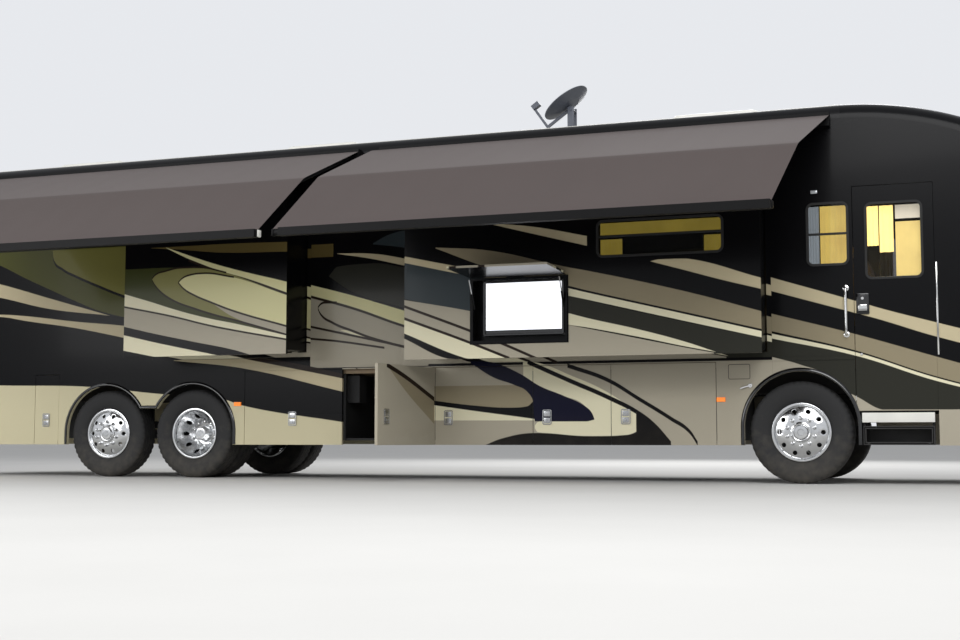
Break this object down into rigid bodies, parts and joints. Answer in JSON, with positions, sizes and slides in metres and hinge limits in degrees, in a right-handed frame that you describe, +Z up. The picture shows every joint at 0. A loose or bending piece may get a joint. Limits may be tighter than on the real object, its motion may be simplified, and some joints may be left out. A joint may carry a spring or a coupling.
{
  "type": "motorhome",
  "caption": "Rear-engined motorhome with a tag axle, slide-outs, patio awnings, luggage bays and opening doors.",
  "frame": {"origin": "On the ground under the middle of the whole vehicle as parked, with its awnings and slide-outs out", "axes": "+X forward along the coach, +Y to its left, +Z up"},
  "size_m": [13.24, 5.746, 4.6231],
  "materials": {
    "paint": "gloss paint",
    "roof_paint": "satin paint",
    "chassis": "black chassis paint",
    "engine": "painted casting",
    "floor": "floor covering",
    "bay_liner": "black liner",
    "glass": "tinted glass",
    "lamp_lens": "lens",
    "dash": "soft-touch",
    "seat_leather": "leather",
    "black_metal": "black powder coat",
    "awning_cloth": "woven acrylic",
    "white_plastic": "moulded cover",
    "tyre": "rubber",
    "polished_rim": "polished",
    "black_plastic": "gloss",
    "steel": "ground rod",
    "dish_grey": "matt paint"
  },
  "bodies": {
    "coach": {"chassis_frame": "chassis", "floor_deck": "floor", "basement": "bay_liner", "side_wall_right": "paint", "side_wall_left": "paint", "roof": "roof_paint", "front_cap": "paint", "rear_cap": "paint", "glazing": "glass", "lamps": "lamp_lens", "front_axle": "chassis", "drive_axle": "chassis", "tag_axle": "chassis", "engine": "engine", "dashboard": "dash", "cab_seats": "seat_leather", "awning_frames": "black_metal", "awning_fabric": "awning_cloth", "roof_units": "white_plastic", "mirrors": "black_metal"},
    "knuckle_left": {"knuckle_left": "chassis"},
    "knuckle_right": {"knuckle_right": "chassis"},
    "tie_rod": {"tie_rod": "chassis"},
    "steering_wheel": {"steering_wheel": "black_plastic"},
    "wheel_front_left": {"tyre_front_left": "tyre", "rim_front_left": "polished_rim"},
    "wheel_tag_left": {"tyre_tag_left": "tyre", "rim_tag_left": "polished_rim"},
    "wheels_drive_left": {"tyres_drive_left": "tyre", "rims_drive_left": "polished_rim"},
    "bay_door_left_1": {"bay_door_left_1": "paint"},
    "bay_door_left_2": {"bay_door_left_2": "paint"},
    "bay_door_left_3": {"bay_door_left_3": "paint"},
    "bay_door_left_4": {"bay_door_left_4": "paint"},
    "wheel_front_right": {"tyre_front_right": "tyre", "rim_front_right": "polished_rim"},
    "wheel_tag_right": {"tyre_tag_right": "tyre", "rim_tag_right": "polished_rim"},
    "wheels_drive_right": {"tyres_drive_right": "tyre", "rims_drive_right": "polished_rim"},
    "bay_door_right_tail": {"bay_door_right_tail": "paint"},
    "bay_door_right_1": {"bay_door_right_1": "paint"},
    "bay_door_right_2": {"bay_door_right_2": "paint"},
    "bay_door_right_3": {"bay_door_right_3": "paint"},
    "bay_door_right_4": {"bay_door_right_4": "paint"},
    "bay_door_right_5": {"bay_door_right_5": "paint"},
    "entry_door": {"entry_door": "paint", "entry_door_glass": "glass"},
    "entry_step": {"entry_step": "chassis"},
    "engine_door": {"engine_door": "paint"},
    "slide_rear_right": {"slide_rear_right": "paint"},
    "slide_front_right": {"slide_front_right": "paint", "slide_front_right_glass": "glass", "tv_screen": "black_plastic"},
    "slide_left": {"slide_left": "paint", "slide_left_glass": "glass"},
    "tv_hatch": {"tv_hatch": "paint"},
    "hatch_strut_cylinders": {"hatch_strut_cylinders": "black_metal"},
    "hatch_strut_rods": {"hatch_strut_rods": "steel"},
    "dish": {"dish": "dish_grey"}
  },
  "joints": [
    {"name": "steer_left", "type": "hinge", "parent": "coach", "child": "knuckle_left", "pos_m": [4.32, 1.805, 0.522], "axis": [0, 0, 1], "range_deg": [-35, 35]},
    {"name": "steer_right", "type": "hinge", "parent": "coach", "child": "knuckle_right", "pos_m": [4.32, -0.025, 0.522], "axis": [0, 0, 1], "range_deg": [-35, 35]},
    {"name": "tie_rod_swing", "type": "hinge", "parent": "knuckle_left", "child": "tie_rod", "pos_m": [4.12, 1.805, 0.404], "axis": [0, 0, 1], "range_deg": [-35, 35]},
    {"name": "steering_wheel_turn", "type": "hinge", "parent": "coach", "child": "steering_wheel", "pos_m": [5.59, 1.53, 2.06], "axis": [-0.8192, 0, 0.5736], "range_deg": [-525, 525]},
    {"name": "wheel_front_left_roll", "type": "hinge", "parent": "knuckle_left", "child": "wheel_front_left", "pos_m": [4.32, 1.992, 0.522], "axis": [0, 1, 0], "continuous": true},
    {"name": "wheel_tag_left_roll", "type": "hinge", "parent": "coach", "child": "wheel_tag_left", "pos_m": [-3.97, 1.992, 0.522], "axis": [0, 1, 0], "continuous": true},
    {"name": "wheels_drive_left_roll", "type": "hinge", "parent": "coach", "child": "wheels_drive_left", "pos_m": [-2.77, 1.992, 0.522], "axis": [0, 1, 0], "continuous": true},
    {"name": "bay_door_left_1_hinge", "type": "hinge", "parent": "coach", "child": "bay_door_left_1", "pos_m": [-0.8, 2.173, 1.247], "axis": [1, 0, 0], "range_deg": [0, 85]},
    {"name": "bay_door_left_2_hinge", "type": "hinge", "parent": "coach", "child": "bay_door_left_2", "pos_m": [0.34, 2.173, 0.8], "axis": [0, 0, -1], "range_deg": [0, 90]},
    {"name": "bay_door_left_3_hinge", "type": "hinge", "parent": "coach", "child": "bay_door_left_3", "pos_m": [2.35, 2.173, 1.247], "axis": [1, 0, 0], "range_deg": [0, 85]},
    {"name": "bay_door_left_4_hinge", "type": "hinge", "parent": "coach", "child": "bay_door_left_4", "pos_m": [3.47, 2.173, 0.8], "axis": [0, 0, -1], "range_deg": [0, 90]},
    {"name": "wheel_front_right_roll", "type": "hinge", "parent": "knuckle_right", "child": "wheel_front_right", "pos_m": [4.32, -0.212, 0.522], "axis": [0, 1, 0], "continuous": true},
    {"name": "wheel_tag_right_roll", "type": "hinge", "parent": "coach", "child": "wheel_tag_right", "pos_m": [-3.97, -0.212, 0.522], "axis": [0, 1, 0], "continuous": true},
    {"name": "wheels_drive_right_roll", "type": "hinge", "parent": "coach", "child": "wheels_drive_right", "pos_m": [-2.77, -0.212, 0.522], "axis": [0, 1, 0], "continuous": true},
    {"name": "bay_door_right_tail_hinge", "type": "hinge", "parent": "coach", "child": "bay_door_right_tail", "pos_m": [-4.66, -0.393, 0.8], "axis": [0, 0, 1], "range_deg": [0, 90]},
    {"name": "bay_door_right_1_hinge", "type": "hinge", "parent": "coach", "child": "bay_door_right_1", "pos_m": [-0.8, -0.393, 1.247], "axis": [-1, 0, 0], "range_deg": [0, 85]},
    {"name": "bay_door_right_2_hinge", "type": "hinge", "parent": "coach", "child": "bay_door_right_2", "pos_m": [0.34, -0.393, 0.8], "axis": [0, 0, 1], "range_deg": [-80, 10]},
    {"name": "bay_door_right_3_hinge", "type": "hinge", "parent": "coach", "child": "bay_door_right_3", "pos_m": [1.48, -0.393, 0.8], "axis": [0, 0, 1], "range_deg": [0, 90]},
    {"name": "bay_door_right_4_hinge", "type": "hinge", "parent": "coach", "child": "bay_door_right_4", "pos_m": [2.35, -0.393, 0.8], "axis": [0, 0, 1], "range_deg": [0, 90]},
    {"name": "bay_door_right_5_hinge", "type": "hinge", "parent": "coach", "child": "bay_door_right_5", "pos_m": [3.47, -0.393, 0.8], "axis": [0, 0, 1], "range_deg": [0, 90]},
    {"name": "entry_door_hinge", "type": "hinge", "parent": "coach", "child": "entry_door", "pos_m": [5.653, -0.393, 1.8], "axis": [0, 0, 1], "range_deg": [0, 90]},
    {"name": "entry_step_slide", "type": "slide", "parent": "coach", "child": "entry_step", "axis": [0, -1, 0], "range_m": [0, 0.25]},
    {"name": "engine_door_hinge", "type": "hinge", "parent": "coach", "child": "engine_door", "pos_m": [-6.53, 0.89, 1.327], "axis": [0, 1, 0], "range_deg": [0, 80]},
    {"name": "slide_rear_right_travel", "type": "slide", "parent": "coach", "child": "slide_rear_right", "axis": [0, 1, 0], "range_m": [0, 0.555]},
    {"name": "slide_front_right_travel", "type": "slide", "parent": "coach", "child": "slide_front_right", "axis": [0, 1, 0], "range_m": [0, 0.655]},
    {"name": "slide_left_travel", "type": "slide", "parent": "coach", "child": "slide_left", "axis": [0, -1, 0], "range_m": [0, 0.655]},
    {"name": "tv_hatch_hinge", "type": "hinge", "parent": "slide_front_right", "child": "tv_hatch", "pos_m": [1.55, -1.113, 2.14], "axis": [1, 0, 0], "range_deg": [0, 90]},
    {"name": "hatch_strut_swing", "type": "hinge", "parent": "slide_front_right", "child": "hatch_strut_cylinders", "pos_m": [1.55, -1.093, 1.81], "axis": [1, 0, 0], "range_deg": [-34, 0]},
    {"name": "hatch_strut_travel", "type": "slide", "parent": "hatch_strut_cylinders", "child": "hatch_strut_rods", "axis": [0, -0.4856, 0.8742], "range_m": [-0.156, 0]},
    {"name": "dish_elevation", "type": "hinge", "parent": "coach", "child": "dish", "pos_m": [1.57, 0.89, 4.34], "axis": [0, 1, 0], "range_deg": [-20, 40]}
  ],
  "couplings": [
    {"joint": "steer_right", "follows": "steer_left", "ratio": 1},
    {"joint": "tie_rod_swing", "follows": "steer_left", "ratio": -1},
    {"joint": "steering_wheel_turn", "follows": "steer_left", "ratio": 15},
    {"joint": "hatch_strut_swing", "follows": "tv_hatch_hinge", "ratio": -0.367},
    {"joint": "hatch_strut_travel", "follows": "tv_hatch_hinge", "m_per_rad": -0.098}
  ]
}
